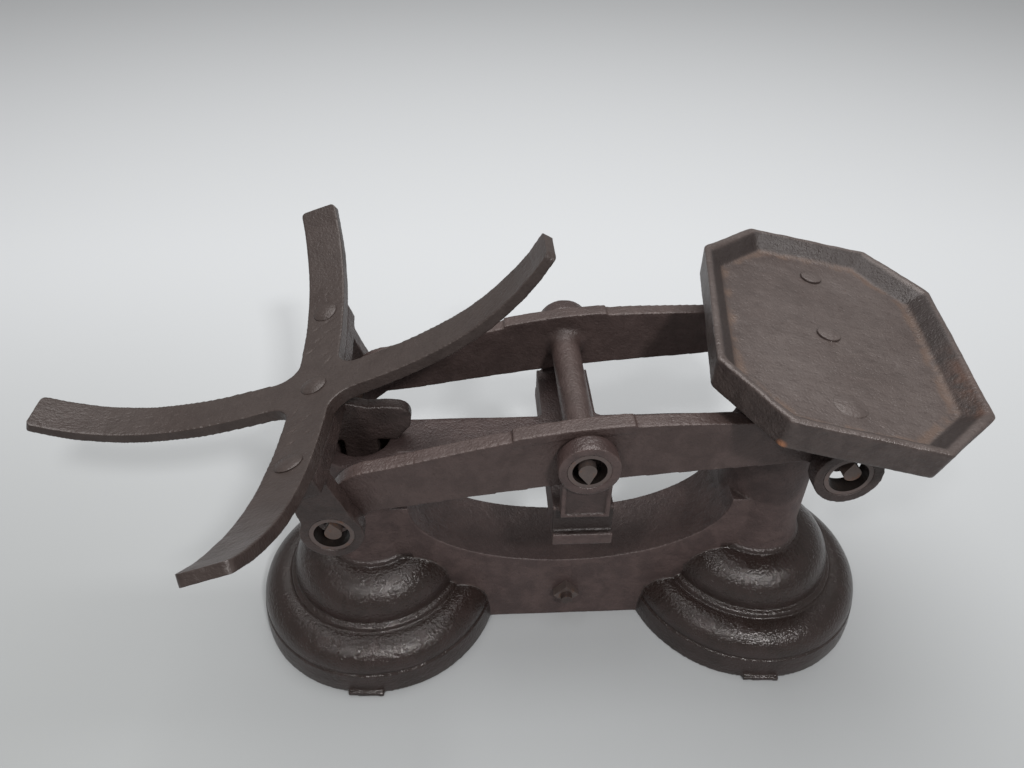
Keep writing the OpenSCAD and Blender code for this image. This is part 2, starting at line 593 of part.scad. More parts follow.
module goods_bearer() {
    neck_y = eye_in + eye_t / 2;
    neck_z = bar_under(neck_y) - goods_bar_t * 0.6;
    top_left = spider_at(-goods_bar_w / 2 + 0.5, neck_z);
    top_right = spider_at(goods_bar_w / 2 - 0.5, neck_z);
    mid_left = spider_at(-goods_bar_w / 2 + 0.5, -spider_t - goods_bar_t * 0.6);
    mid_right = spider_at(goods_bar_w / 2 - 0.5, -spider_t - goods_bar_t * 0.6);
    color(iron) difference() {
        union() {
            on_spider() rotate([0, 0, 90]) xz_plate(concat(
                [for (i = [-bar_steps:bar_steps]) let (y = bar_half * i / bar_steps) [y, bar_under(y)]],
                [for (i = [bar_steps:-1:-bar_steps]) let (y = bar_half * i / bar_steps) [y, bar_under(y) - goods_bar_t]]),
                -goods_bar_w / 2, goods_bar_w / 2);
            for (sy = [-1, 1]) {
                y0 = sy > 0 ? eye_in : -eye_out;
                y_bar(goods_edge[0], goods_eye_z, goods_eye_r, y0, y0 + eye_t);
                xz_plate([[goods_edge[0] - 11.5, goods_eye_z + 5], top_left, top_right,
                    [goods_edge[0] + 10.5, goods_eye_z + 8]], y0, y0 + eye_t);
            }
            translate([goods_edge[0], 0, goods_edge[1]]) {
                leg(-goods_tongue + 4, goods_leg_w, goods_web_t, goods_leg_in);
                tongue(goods_tongue, goods_leg_w, goods_web_t, goods_leg_in);
            }
            xz_plate([mid_left, mid_right, [-foot_x + 10, goods_edge[1] - goods_tongue + tongue_h - 1],
                [-foot_x + 2, goods_edge[1] - goods_tongue + 3], [-foot_x - 12, goods_edge[1] - goods_tongue + 3]], -goods_web_t / 2, goods_web_t / 2);
        }
        on_spider() for (sy = [-1, 0, 1]) goods_rivet_place(sy) rivet_hole(goods_grip(sy));
        for (sy = [-1, 1])
            y_bar(goods_edge[0], goods_eye_z, goods_bore_r + bearing_wall, sy > 0 ? eye_in - past : -eye_out - past,
                sy > 0 ? eye_out + past : -eye_in + past);
    }
}

module goods_bearing_front() { bearing(goods_edge[0], goods_eye_z, goods_bore_r, -1); }
module goods_bearing_rear() { bearing(goods_edge[0], goods_eye_z, goods_bore_r, 1); }

// A leg pin with its head at the back, and the split pin that keeps it
module leg_pin(edge) {
    z = edge[1] - leg_drop;
    color(steel) difference() {
        union() {
            y_bar(edge[0], z, leg_pin_r, -fork_t / 2 - 5.4, fork_t / 2 + weld);
            y_bar(edge[0], z, leg_pin_r + 1.5, fork_t / 2 + shank_gap, fork_t / 2 + 1.8);
        }
        translate([edge[0] - 5, -fork_t / 2 - 3.2, z]) rotate([0, 90, 0]) cylinder(r = 0.8, h = 10);
    }
}
module cotter(edge) {
    z = edge[1] - leg_drop;
    color(rust) union() {
        translate([edge[0] - 5, -fork_t / 2 - 3.2, z]) rotate([0, 90, 0]) cylinder(r = 0.8, h = 9.5);
        translate([edge[0] + 6, -fork_t / 2 - 3.2, z]) rotate_extrude() translate([1.5, 0]) circle(r = 0.8);
    }
}
module goods_leg_pin() { leg_pin(goods_edge); }
module weights_leg_pin() { leg_pin(weights_edge); }
module goods_cotter() { cotter(goods_edge); }
module weights_cotter() { cotter(weights_edge); }

slab = 0.01;
module oct_slab(inset, z) {
    translate([0, 0, z - slab / 2]) linear_extrude(slab)
        polygon(oct(plate_len / 2 - inset, plate_w / 2 - inset, plate_cut_x - inset * 0.42, plate_cut_y - inset * 0.42));
}

rim_taper = 2.2;
rim_wall = 2.6;
module weights_plate() {
    under = tray_d + floor_t;
    color(iron_light) on_plate() difference() {
        hull() {
            oct_slab(0, 0);
            oct_slab(rim_taper, -rim_h);
        }
        hull() {
            oct_slab(rim_land, slab);
            oct_slab(rim_land + rim_slope, -tray_d);
        }
        hull() {
            oct_slab(rim_wall + rim_taper * 0.7, -under);
            oct_slab(rim_wall + rim_taper, -rim_h - slab);
        }
        for (sy = [-1, 0, 1]) weights_rivet_place(sy) rivet_hole(weights_grip);
    }
}

module weights_rivets() {
    color(iron) on_plate() for (sy = [-1, 0, 1]) weights_rivet_place(sy) rivet(weights_grip);
}

module weights_bearer() {
    bar_top = -tray_d - floor_t;
    neck_z = bar_top - weights_bar_t * 0.6;
    mid_left = plate_at(-weights_bar_w / 2 + 1, neck_z, 0);
    mid_right = plate_at(weights_bar_w / 2 - 1, neck_z, 0);
    color(iron) difference() {
        union() {
            on_plate() translate([-weights_bar_w / 2, -bar_half + 4, bar_top - weights_bar_t])
                cube([weights_bar_w, 2 * bar_half - 8, weights_bar_t]);
            for (sy = [-1, 1]) {
                y0 = sy > 0 ? eye_in : -eye_out;
                neck_y = sy * (eye_in + eye_t / 2);
                y_bar(weights_edge[0], weights_eye_z, weights_eye_r, y0, y0 + eye_t);
                xz_plate([[weights_edge[0] - 9, weights_eye_z + 8], plate_at(-weights_bar_w / 2 + 1.4, neck_z, neck_y),
                    plate_at(weights_bar_w / 2 - 1.4, neck_z, neck_y), [weights_edge[0] + 9, weights_eye_z + 8]],
                    y0, y0 + eye_t);
            }
            translate([weights_edge[0], 0, weights_edge[1]]) mirror([1, 0, 0]) {
                leg(-weights_tongue + 4, weights_leg_w, weights_web_t, weights_leg_in);
                tongue(weights_tongue, weights_leg_w, weights_web_t, weights_leg_in);
            }
            xz_plate([[foot_x + 11, weights_edge[1] - weights_tongue + 3], mid_right, mid_left,
                [foot_x - 9, weights_edge[1] - weights_tongue + tongue_h - 1],
                [foot_x - 1, weights_edge[1] - weights_tongue + 3]], -weights_web_t / 2, weights_web_t / 2);
        }
        on_plate() for (sy = [-1, 0, 1]) weights_rivet_place(sy) rivet_hole(weights_grip);
        for (sy = [-1, 1])
            y_bar(weights_edge[0], weights_eye_z, weights_bore_r + bearing_wall, sy > 0 ? eye_in - past : -eye_out - past,
                sy > 0 ? eye_out + past : -eye_in + past);
    }
}

module weights_bearing_front() { bearing(weights_edge[0], weights_eye_z, weights_bore_r, -1); }
module weights_bearing_rear() { bearing(weights_edge[0], weights_eye_z, weights_bore_r, 1); }

module stay_link() {
    color(iron) translate([0, 0, stay_z]) rotate([0, -rest_tilt, 0]) difference() {
        union() {
            translate([-beam_arm, -stay_t / 2, -stay_h / 2]) cube([2 * beam_arm, stay_t, stay_h]);
            for (sx = [-1, 1]) y_bar(sx * beam_arm, 0, stay_eye_r, -stay_t / 2, stay_t / 2);
            y_bar(0, 0, stay_boss_r, -stay_boss_t / 2, stay_boss_t / 2);
        }
        y_bar(0, 0, bolt_r + bolt_gap, -stay_boss_t, stay_boss_t);
        for (sx = [-1, 1]) y_bar(sx * beam_arm, 0, stay_hole_r, -stay_t, stay_t);
    }
}

base_casting();
fulcrum_bearing_front();
fulcrum_bearing_rear();
stay_bolt();
stay_nut();
stay_collar_front();
stay_collar_rear();
beam_casting();
fulcrum_knife_front();
fulcrum_knife_rear();
goods_knife_front();
goods_knife_rear();
weights_knife_front();
weights_knife_rear();
goods_bearer();
goods_bearing_front();
goods_bearing_rear();
goods_spider();
goods_rivets();
goods_leg_pin();
goods_cotter();
weights_bearer();
weights_bearing_front();
weights_bearing_rear();
weights_plate();
weights_rivets();
weights_leg_pin();
weights_cotter();
stay_link();
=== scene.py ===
import math

import bpy
from mathutils import Euler, Matrix, Vector, noise


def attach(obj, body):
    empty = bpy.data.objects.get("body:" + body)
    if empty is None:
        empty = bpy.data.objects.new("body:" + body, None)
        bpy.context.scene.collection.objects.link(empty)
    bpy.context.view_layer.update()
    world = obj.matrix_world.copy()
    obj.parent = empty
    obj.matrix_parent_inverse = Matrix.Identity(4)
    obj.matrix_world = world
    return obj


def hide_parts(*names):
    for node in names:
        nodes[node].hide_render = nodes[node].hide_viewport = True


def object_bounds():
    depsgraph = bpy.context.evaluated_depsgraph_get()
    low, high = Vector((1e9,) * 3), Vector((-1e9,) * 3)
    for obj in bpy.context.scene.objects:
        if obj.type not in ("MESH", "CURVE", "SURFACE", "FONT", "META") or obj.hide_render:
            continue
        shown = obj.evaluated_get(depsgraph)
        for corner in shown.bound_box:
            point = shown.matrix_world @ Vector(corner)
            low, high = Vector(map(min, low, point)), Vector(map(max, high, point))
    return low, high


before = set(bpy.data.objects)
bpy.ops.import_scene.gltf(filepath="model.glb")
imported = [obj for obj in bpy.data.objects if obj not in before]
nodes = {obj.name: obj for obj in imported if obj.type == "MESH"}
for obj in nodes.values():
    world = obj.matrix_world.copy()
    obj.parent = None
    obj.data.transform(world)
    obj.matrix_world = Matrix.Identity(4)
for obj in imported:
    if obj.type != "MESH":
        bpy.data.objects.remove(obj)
cad_box = [list(corner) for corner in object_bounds()]


# Camera at the photograph's angle
camera = bpy.data.cameras.new("camera")
camera.lens = 27.929
camera.sensor_width = 36
camera.clip_start = 0.01
camera_object = bpy.data.objects.new("camera", camera)
bpy.context.scene.collection.objects.link(camera_object)
pitch = math.radians(37.803)
yaw = math.radians(3.30)
roll = math.radians(0.782)
forward = Vector((math.sin(yaw) * math.cos(pitch), math.cos(yaw) * math.cos(pitch), -math.sin(pitch)))
right = Vector((math.cos(yaw), -math.sin(yaw), 0))
up = right.cross(forward)
across = math.cos(roll) * right + math.sin(roll) * up
upward = -math.sin(roll) * right + math.cos(roll) * up
turn = Matrix((across, upward, -forward)).transposed().to_4x4()
camera_object.matrix_world = Matrix.Translation((-0.04594, -0.2892, 0.3724)) @ turn
bpy.context.scene.camera = camera_object
bpy.context.scene.view_settings.view_transform = "Standard"


# Base: one iron casting with two hollow feet, columns, bridge, ledges, rail, yoke and fulcrum eyes.
# It was cast in sand, painted dark brown and oiled since, so its skin is grainy and the domes shine.
class Value:
    """An output in a material's node tree; arithmetic on it adds the nodes."""

    def __init__(self, tree, socket):
        self.tree = tree
        self.socket = socket

    def node(self, kind, inputs, output=0, **settings):
        made = self.tree.nodes.new(kind)
        for name, value in settings.items():
            setattr(made, name, value)
        for key, value in inputs.items():
            if isinstance(value, Value):
                self.tree.links.new(value.socket, made.inputs[key])
            else:
                made.inputs[key].default_value = value
        return Value(self.tree, made.outputs[output])

    def feed(self, shader, name):
        self.tree.links.new(self.socket, shader.inputs[name])

    def math(self, operation, first, second):
        return self.node("ShaderNodeMath", {0: first, 1: second}, operation=operation)

    def __add__(self, other):
        return self.math("ADD", self, other)

    def __radd__(self, other):
        return self.math("ADD", other, self)

    def __sub__(self, other):
        return self.math("SUBTRACT", self, other)

    def __rsub__(self, other):
        return self.math("SUBTRACT", other, self)

    def __mul__(self, other):
        return self.math("MULTIPLY", self, other)

    def __rmul__(self, other):
        return self.math("MULTIPLY", other, self)

    def larger(self, other):
        return self.math("MAXIMUM", self, other)

    def size(self):
        return self.math("ABSOLUTE", self, 0.0)

    def ramp(self, low, high, to_low=0.0, to_high=1.0):
        inputs = {0: self, 1: low, 2: high, 3: to_low, 4: to_high}
        return self.node("ShaderNodeMapRange", inputs, interpolation_type="SMOOTHSTEP")

    def noise(self, scale, detail=3.0, roughness=0.55, distortion=0.0):
        inputs = {"Vector": self, "Scale": scale, "Detail": detail}
        inputs.update({"Roughness": roughness, "Distortion": distortion})
        return self.node("ShaderNodeTexNoise", inputs)

    def cells(self, scale):
        return self.node("ShaderNodeTexVoronoi", {"Vector": self, "Scale": scale})

    def mix(self, low, high):
        inputs = {0: self}
        for slot, value in ((6, low), (7, high)):
            inputs[slot] = value if isinstance(value, Value) else (*value, 1.0)
        return self.node("ShaderNodeMix", inputs, output=2, data_type="RGBA")

    def in_frame(self, place, turned, stretch=(1, 1, 1)):
        inputs = {"Vector": self, "Location": place, "Rotation": turned, "Scale": stretch}
        return self.node("ShaderNodeMapping", inputs, vector_type="TEXTURE")

    def part(self, axis):
        return self.node("ShaderNodeSeparateXYZ", {0: self}, output="XYZ".index(axis))


def start_material(name):
    material = bpy.data.materials.new(name)
    material.use_nodes = True
    tree = material.node_tree
    texture = tree.nodes.new("ShaderNodeTexCoord")
    geometry = tree.nodes.new("ShaderNodeNewGeometry")
    place = Value(tree, texture.outputs["Object"])
    facing = Value(tree, texture.outputs["Normal"])
    edge = Value(tree, geometry.outputs["Pointiness"])
    return material, tree.nodes["Principled BSDF"], place, facing, edge


# Old cast iron: dark paint over a sandy skin, rubbed on the edges and rusty in the corners. Up-facing
# surfaces take a top colour, lighter or darker than the rest, which stands for dust and oil and partly
# for painted light; hollows and creases are darkened with painted shade and soot. Film is what the
# layer on top adds to the roughness.
def cast_iron(
    name, dark, brown, top, bare, topped, worn, rusty, gloss, grain, film=0.1, stain=None, streak=None
):
    soot_and_shade = (0.014, 0.009, 0.008)
    corner_rust = (0.085, 0.042, 0.024)
    spot_rust = (0.13, 0.062, 0.032)
    material, shader, place, facing, edge = start_material(name)
    clouds = place.noise(24, 4, 0.6)
    blotch = place.noise(100, 5, 0.62, 0.4)
    along = streak(place) if streak else place
    skin = along.noise(480, 3, 0.6)
    sand = place.noise(1050, 2, 0.6)
    pits = place.cells(420)
    # An ambient occlusion mask darkens the hollows with painted shade and soot
    openness = place.node(
        "ShaderNodeAmbientOcclusion", {"Distance": 0.014}, output=1, only_local=True, samples=8
    )
    hollow_shade_and_soot = openness.ramp(0.92, 0.35)
    # Up-facing surfaces take the top colour, as dust and oil and partly as painted light on the tops
    upward_share = facing.part("Z").ramp(0.2, 0.95)
    base = blotch.ramp(0.34, 0.66).mix(dark, brown)
    top_cover_and_light = upward_share * (clouds.ramp(0.3, 0.7) * 0.5 + 0.5) * topped
    base = top_cover_and_light.mix(base, top)
    base = ((skin * 0.6 + sand * 0.4).ramp(0.5, 0.36) * 0.5).mix(base, dark)
    corner = edge.ramp(0.492, 0.46) * blotch.ramp(0.38, 0.6) * rusty
    base = corner.mix(base, corner_rust)
    # Concave creases are darkened too, with painted shade and soot
    crease_shade_and_soot = edge.ramp(0.488, 0.445) * 0.8
    base = (hollow_shade_and_soot * 0.85).larger(crease_shade_and_soot).mix(base, soot_and_shade)
    spots = place.noise(150, 6, 0.75).ramp(0.665, 0.74) * rusty * 0.6
    base = spots.mix(base, spot_rust)
    rubbed = edge.ramp(0.525, 0.575) * (skin.ramp(0.36, 0.6) * 0.6 + 0.4) * worn
    base = rubbed.mix(base, bare)
    wall_share = facing.part("Z").size().ramp(0.35, 0.05)
    rough = gloss + clouds.ramp(0.3, 0.7) * 0.12 + top_cover_and_light * film + corner * 0.25
    rough = rough - rubbed * 0.08 + wall_share * 0.15
    if stain:
        base, rough = stain(place, blotch, base, rough)
    base.feed(shader, "Base Color")
    rough.feed(shader, "Roughness")
    shader.inputs["Metallic"].default_value = 0.15
    shader.inputs["Specular IOR Level"].default_value = 0.6
    height = skin * 0.42 + sand * 0.55 + blotch * 0.2 + pits.ramp(0.05, 0.5) * 0.2
    relief = {"Strength": 1.0, "Distance": 0.0009 * grain, "Height": height}
    height.node("ShaderNodeBump", relief).feed(shader, "Normal")
    return material


def choose(piece):
    bpy.ops.object.select_all(action="DESELECT")
    piece.select_set(True)
    bpy.context.view_layer.objects.active = piece


def apply_modifiers(piece):
    choose(piece)
    for modifier in list(piece.modifiers):
        bpy.ops.object.modifier_apply(modifier=modifier.name)


# The sand leaves slow lumps and shallow pits; hollows gives more of them at a place. No point moves
# outside the whole part's box.
def roughen(piece, lumps, pits, seed, hollows=None):
    mesh = piece.data
    shift = Vector((seed, 0.37 * seed, -0.61 * seed))
    moves = []
    for vertex in mesh.vertices:
        slow = noise.noise(vertex.co * 60 + shift)
        quick = noise.noise(vertex.co * 420 + shift)
        move = slow * lumps + quick * pits
        if hollows:
            move += hollows(vertex)
        moves.append(vertex.co + vertex.normal * move)
    for vertex, place in zip(mesh.vertices, moves):
        vertex.co = [min(max(value, least), most) for value, least, most in zip(place, *cad_box)]


# The modifiers that turn a sharp form into a cast one, with its edges rounded as by a sand mould
def soften_form(piece, voxel, rounds):
    remesh = piece.modifiers.new("remesh", "REMESH")
    remesh.mode = "VOXEL"
    remesh.voxel_size = voxel
    soften = piece.modifiers.new("soften", "SMOOTH")
    soften.factor = 0.5
    soften.iterations = rounds
    apply_modifiers(piece)


# Fewer faces where the surface is plain
def thin_out(piece, faces):
    count = len(piece.data.polygons) * 2
    if count > faces:
        thin = piece.modifiers.new("thin", "DECIMATE")
        thin.ratio = faces / count
        apply_modifiers(piece)
    piece.data.shade_smooth()


# A casting takes the form of its node, worked in the frame that its edges follow. turn_true brings
# its turned parts back to their curves before the sand's marks are pressed in.
def casting(
    node, level, voxel, faces, rounds, lumps, pits, seed, hollows=None, turn_true=None
):
    piece = bpy.data.objects.new(node + "_cast", nodes[node].data.copy())
    bpy.context.scene.collection.objects.link(piece)
    choose(piece)
    bpy.ops.object.mode_set(mode="EDIT")
    bpy.ops.mesh.select_all(action="SELECT")
    bpy.ops.mesh.remove_doubles(threshold=0.00001)
    bpy.ops.object.mode_set(mode="OBJECT")
    piece.data.transform(level.inverted())
    soften_form(piece, voxel, rounds)
    piece.data.transform(level)
    if turn_true:
        turn_true(piece)
    roughen(piece, lumps, pits, seed, hollows)
    thin_out(piece, faces)
    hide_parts(node)
    return piece


def dress(piece, material, body):
    piece.data.materials.clear()
    piece.data.materials.append(material)
    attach(piece, body)


# Curves that the pattern maker turned, and where each ends
foot_x = 0.1013
bead_z = 0.0275
torus_curve = {"middle": 0.0488, "low": 0.0151, "half_width": 0.0134, "half_height": 0.0126}
dome_curve = {
    "middle": 0.0244, "low": 0.0307, "half_width": 0.0194, "half_height": 0.0207, "power": 0.9
}
ledge_z = 0.0865
deck_curve = {"middle": 0, "low": 0, "half_width": 0.0805, "half_height": 0.0415}
bridge_top = 0.087
bridge_half_width = 0.0187
bridge_half_length = 0.0795


# Moves a point of a section onto an ellipse when it lies close to it; power flattens the upper part
def onto_ellipse(across, height, middle, low, half_width, half_height, power=1.0):
    if across < middle or height < low:
        return across, height
    part_across = (across - middle) / half_width
    part_up = ((height - low) / half_height) ** (1 / power)
    reach = math.hypot(part_across, part_up)
    close_by = 0.025
    if abs(reach - 1) > close_by:
        return across, height
    return middle + part_across / reach * half_width, low + (part_up / reach) ** power * half_height


# Torus, dome and deck follow one smooth curve each
def true_base(piece):
    vertices = piece.data.vertices
    starts = [(vertex.co.copy(), vertex.normal.z) for vertex in vertices]
    for vertex, (place, rise) in zip(vertices, starts):
        beside = abs(place.y) < bridge_half_width and abs(place.x) < bridge_half_length
        if place.z < bridge_top and beside:
            if rise > 0.3:
                far, drop = onto_ellipse(abs(place.x), ledge_z - place.z, **deck_curve)
                vertex.co = (math.copysign(far, place.x), place.y, ledge_z - drop)
            continue
        axis = math.copysign(foot_x, place.x)
        radius = math.hypot(place.x - axis, place.y)
        curve = torus_curve if place.z < bead_z else dome_curve
        far, height = onto_ellipse(radius, place.z, **curve)
        if far != radius:
            vertex.co = (axis + (place.x - axis) * far / radius, place.y * far / radius, height)


# The deck of the bridge is rougher than the rest
deck_half_width = 0.0185
deck_half_length = 0.078
deck_low = 0.042
deck_high = 0.084


def deck_hollows(vertex):
    place = vertex.co
    if abs(place.y) > deck_half_width or abs(place.x) > deck_half_length:
        return 0.0
    if vertex.normal.z < 0.4 or not deck_low < place.z < deck_high:
        return 0.0
    return 0.00015 * noise.noise(place * 300) + 0.0002 * noise.noise(place * 900)


# Where the stains and the painted shade of the base begin and where each is full
beside_bridge = (0.0196, 0.0190)
bridge_end = (0.081, 0.079)
neck = (0.0555, 0.0525)
yoke_side = (0.0142, 0.0132)
cove_low = (0.1032, 0.1038)
cove_high = (0.1172, 0.1160)
cove_back = (0.0485, 0.0495)
cove_front = (0.0530, 0.0520)
sunk_side = (0.0090, 0.0086)
sunk_low = (0.1170, 0.1176)
sunk_high = (0.134, 0.130)
sunk_back = (0.0525, 0.0530)
sunk_front = (0.0545, 0.0540)
eye_low = (0.129, 0.133)
feet_dark_tone = (0.018, 0.011, 0.009)
yoke_soot_and_shade = (0.016, 0.010, 0.009)


# The feet are darker and shinier below the neck, and the fulcrum eyes shine too. Painted shade and
# soot darken the coves over the toes, and soot lies on the sunk faces of the uprights.
def base_stain(place, blotch, base, rough):
    out = place.part("X").size()
    beyond = place.part("Y").size()
    height = place.part("Z")
    bridge = beyond.ramp(*beside_bridge) * out.ramp(*bridge_end)
    polish = height.ramp(*neck) * (1 - bridge)
    base = (polish * (blotch.ramp(0.35, 0.6) * 0.3 + 0.6)).mix(base, feet_dark_tone)
    # Painted shade and soot in the coves over the toes
    cove_shade_and_soot = out.ramp(*yoke_side) * height.ramp(*cove_low) * height.ramp(*cove_high)
    cove_shade_and_soot = cove_shade_and_soot * beyond.ramp(*cove_back) * beyond.ramp(*cove_front)
    sunk = out.ramp(*sunk_side) * height.ramp(*sunk_low) * height.ramp(*sunk_high)
    sunk = sunk * beyond.ramp(*sunk_back) * beyond.ramp(*sunk_front)
    sunk = sunk * blotch.ramp(0.3, 0.55) * 0.6
    base = (cove_shade_and_soot * 0.85).larger(sunk).mix(base, yoke_soot_and_shade)
    eyes = height.ramp(*eye_low)
    return base, rough - polish * 0.28 - eyes * 0.16


base_iron = cast_iron(
    "base_iron",
    dark=(0.054, 0.034, 0.032), brown=(0.086, 0.056, 0.052),
    top=(0.032, 0.021, 0.020), bare=(0.150, 0.110, 0.100),
    topped=0.7, worn=0.35, rusty=0.25, gloss=0.42, grain=0.6, film=-0.02, stain=base_stain,
)
upright = Matrix()
base = casting(
    "base_casting", upright, 0.00055, 196000, 1, 0.0002, 0.00005, 1.0, deck_hollows, true_base
)
dress(base, base_iron, "base")


# Beam: one casting, two arms with a raised hood over the fulcrum and a round crossbar between them.
# It is cast in sand, a dull brown, and lighter on the top edges with dust and painted light; it rests
# with the goods side down.
beam_iron = cast_iron(
    "beam_iron",
    dark=(0.050, 0.031, 0.028), brown=(0.072, 0.047, 0.043),
    top=(0.078, 0.056, 0.051), bare=(0.140, 0.108, 0.098),
    topped=0.5, worn=0.35, rusty=0.35, gloss=0.34, grain=0.55,
)
fulcrum_z = 0.1375
beam_tilt = math.radians(-7)
beam_level = Matrix.Translation((0, 0, fulcrum_z)) @ Matrix.Rotation(beam_tilt, 4, "Y")
beam = casting("beam_casting", beam_level, 0.0005, 170000, 4, 0.00018, 0.00008, 2.0)
dress(beam, beam_iron, "beam")


# Carriers: each has a cross-bar with two eyes that hang on the end knives, and a web, a stop tongue
# and a leg down through the column. They are rough, dark, and rusty where no hand reaches.
carrier_iron = cast_iron(
    "carrier_iron",
    dark=(0.030, 0.019, 0.017), brown=(0.050, 0.033, 0.030),
    top=(0.040, 0.027, 0.025), bare=(0.120, 0.088, 0.080),
    topped=0.4, worn=0.3, rusty=0.5, gloss=0.34, grain=0.75,
)
spider_place = (-0.119767, 0, 0.14937)
spider_tilt = math.radians(-19.4)
spider_frame = Matrix.Translation(spider_place) @ Matrix.Rotation(spider_tilt, 4, "Y")
goods_bearer = casting("goods_bearer", spider_frame, 0.0006, 120000, 6, 0.0003, 0.00012, 3.0)
dress(goods_bearer, carrier_iron, "goods_carrier")
weights_bearer = casting("weights_bearer", upright, 0.0006, 120000, 6, 0.0003, 0.00012, 4.0)
dress(weights_bearer, carrier_iron, "weights_carrier")


# Spider: four bowed flat arms that carried a pan, riveted to the cross-bar. Pan and hands have
# rubbed its top to a soft sheen, and a hammer has left dents beside the rivets.
spider_iron = cast_iron(
    "spider_iron",
    dark=(0.034, 0.022, 0.019), brown=(0.049, 0.034, 0.030),
    top=(0.051, 0.038, 0.034), bare=(0.110, 0.084, 0.077),
    topped=0.6, worn=0.3, rusty=0.3, gloss=0.32, grain=0.4,
)
spider_level = spider_frame.inverted()

# Each dent's place across and along the spider, its length and its angle, in millimetres and degrees
hammer_dents = (
    (2, 47, 4, 20), (-4, 44, 3, 35), (4, 40, 5, 15), (-2, 35, 4, 30),
    (-5, 28, 4, 40), (3, 22, 3, 25), (5, 16, 4, 60), (-6, -18, 5, 70),
    (1, -24, 4, 40), (-4, -31, 5, 35), (4, -35, 3, 20), (-3, -40, 4, 30),
)
dent_depth = 0.00035
dent_width = 0.8


def spider_hollows(vertex):
    local = spider_level @ vertex.co * 1000
    if vertex.normal.z < 0.5 or abs(local.x) > 9.5:
        return 0.0
    depth = 0.0
    for x, y, length, angle in hammer_dents:
        way = math.radians(angle)
        along = (local.x - x) * math.cos(way) + (local.y - y) * math.sin(way)
        across = (local.y - y) * math.cos(way) - (local.x - x) * math.sin(way)
        if abs(along) < 2 * length and abs(across) < 3:
            depth -= dent_depth * math.exp(-(along / length) ** 2 * 2 - (across / dent_width) ** 2)
    return depth


# Length and slope of the four arms at their tips, by axis and side
arm_tips = {
    (0, -1): (0.124, 40.3), (0, 1): (0.121, 41.0), (1, -1): (0.129, 36.2), (1, 1): (0.119, 38.4)
}
arm_half_width = 0.010
tip_z = 0.0325
tip_corner = 0.003


# The corners of the arms' tips are rounded off, in the plane of each tip
def round_tip(local, along, length, slope):
    sideways = 1 - along
    climb = math.radians(slope)
    past_tip = (abs(local[along]) - length) * math.cos(climb) + (local.z - tip_z) * math.sin(climb)
    out = past_tip + tip_corner
    side = abs(local[sideways]) - (arm_half_width - tip_corner)
    reach = math.hypot(out, side)
    if out <= 0 or side <= 0 or reach <= tip_corner or abs(local[sideways]) > 0.0115:
        return
    pull = 1 - tip_corner / reach
    local[along] -= math.copysign(out * pull * math.cos(climb), local[along])
    local.z -= out * pull * math.sin(climb)
    local[sideways] -= math.copysign(side * pull, local[sideways])


spider = casting(
    "goods_spider", spider_frame, 0.0005, 180000, 4, 0.00025, 0.00006, 5.0, spider_hollows
)
for vertex in spider.data.vertices:
    local = spider_level @ vertex.co
    along = 0 if abs(local.x) > abs(local.y) else 1
    side = -1 if local[along] < 0 else 1
    round_tip(local, along, *arm_tips[along, side])
    vertex.co = spider_frame @ local
dress(spider, spider_iron, "goods_carrier")


# Weights plate: an eight-sided cast tray with a sloping rim, hollow below, riveted to its cross-bar.
# Rust lies along the edge of its floor, its sloping rim is darkened with painted shade, and its right
# end is rusty.
plate_turned = (0, math.radians(8.6), math.radians(-10.6))
plate_place = (0.114586, 0, 0.179004)
plate_frame = Matrix.LocRotScale(Vector(plate_place), Euler(plate_turned), None)
plate_w = 0.1136
plate_len = 0.158
rim_h = 0.0155
rim_taper = 0.0022
rim_land = 0.0034
rim_slope = 0.0074
tray_d = 0.0075
floor_t = 0.0028
rim_wall = 0.0026
cut_x = 0.0262
cut_y = 0.031


# Picks faces by their normal and place, ready for the next tool
def pick_faces(piece, chosen):
    bpy.ops.object.mode_set(mode="EDIT")
    bpy.ops.mesh.select_mode(type="FACE")
    bpy.ops.mesh.select_all(action="DESELECT")
    bpy.ops.object.mode_set(mode="OBJECT")
    for face in piece.data.polygons:
        face.select = chosen(face)
    bpy.ops.object.mode_set(mode="EDIT")


bpy.ops.object.select_all(action="DESELECT")
bpy.ops.mesh.primitive_cube_add(
    size=1, location=(0, 0, -rim_h / 2), scale=(plate_w, plate_len, rim_h)
)
plate = bpy.context.active_object
plate.name = "weights_plate_cast"
bpy.ops.object.transform_apply(location=True, rotation=True, scale=True)
bpy.ops.object.mode_set(mode="EDIT")
for side_x in (-1, 1):
    for side_y in (-1, 1):
        bpy.ops.mesh.select_all(action="SELECT")
        corner = (side_x * (plate_w / 2 - cut_x), side_y * plate_len / 2, 0)
        outward = (side_x * cut_y, side_y * cut_x, 0)
        bpy.ops.mesh.bisect(plane_co=corner, plane_no=outward, use_fill=True, clear_outer=True)
pick_faces(plate, lambda face: face.normal.z < -0.9)
taper = (1 - 2 * rim_taper / plate_w, 1 - 2 * rim_taper / plate_len, 1)
bpy.ops.transform.resize(value=taper, center_override=(0, 0, -rim_h))
bpy.ops.mesh.inset(thickness=rim_wall, depth=0)
bpy.ops.mesh.inset(thickness=0.0004, depth=-(rim_h - tray_d - floor_t))
pick_faces(plate, lambda face: face.normal.z > 0.9)
bpy.ops.mesh.inset(thickness=rim_land, depth=0)
bpy.ops.mesh.inset(thickness=rim_slope, depth=-tray_d)
bpy.ops.mesh.select_all(action="SELECT")
bpy.ops.mesh.normals_make_consistent(inside=False)
bpy.ops.object.mode_set(mode="OBJECT")
round_edges = plate.modifiers.new("round_edges", "BEVEL")
round_edges.width = 0.0012
round_edges.segments = 3
round_edges.limit_method = "ANGLE"
round_edges.angle_limit = math.radians(20)
soften_form(plate, 0.00065, 2)
plate.data.transform(plate_frame)


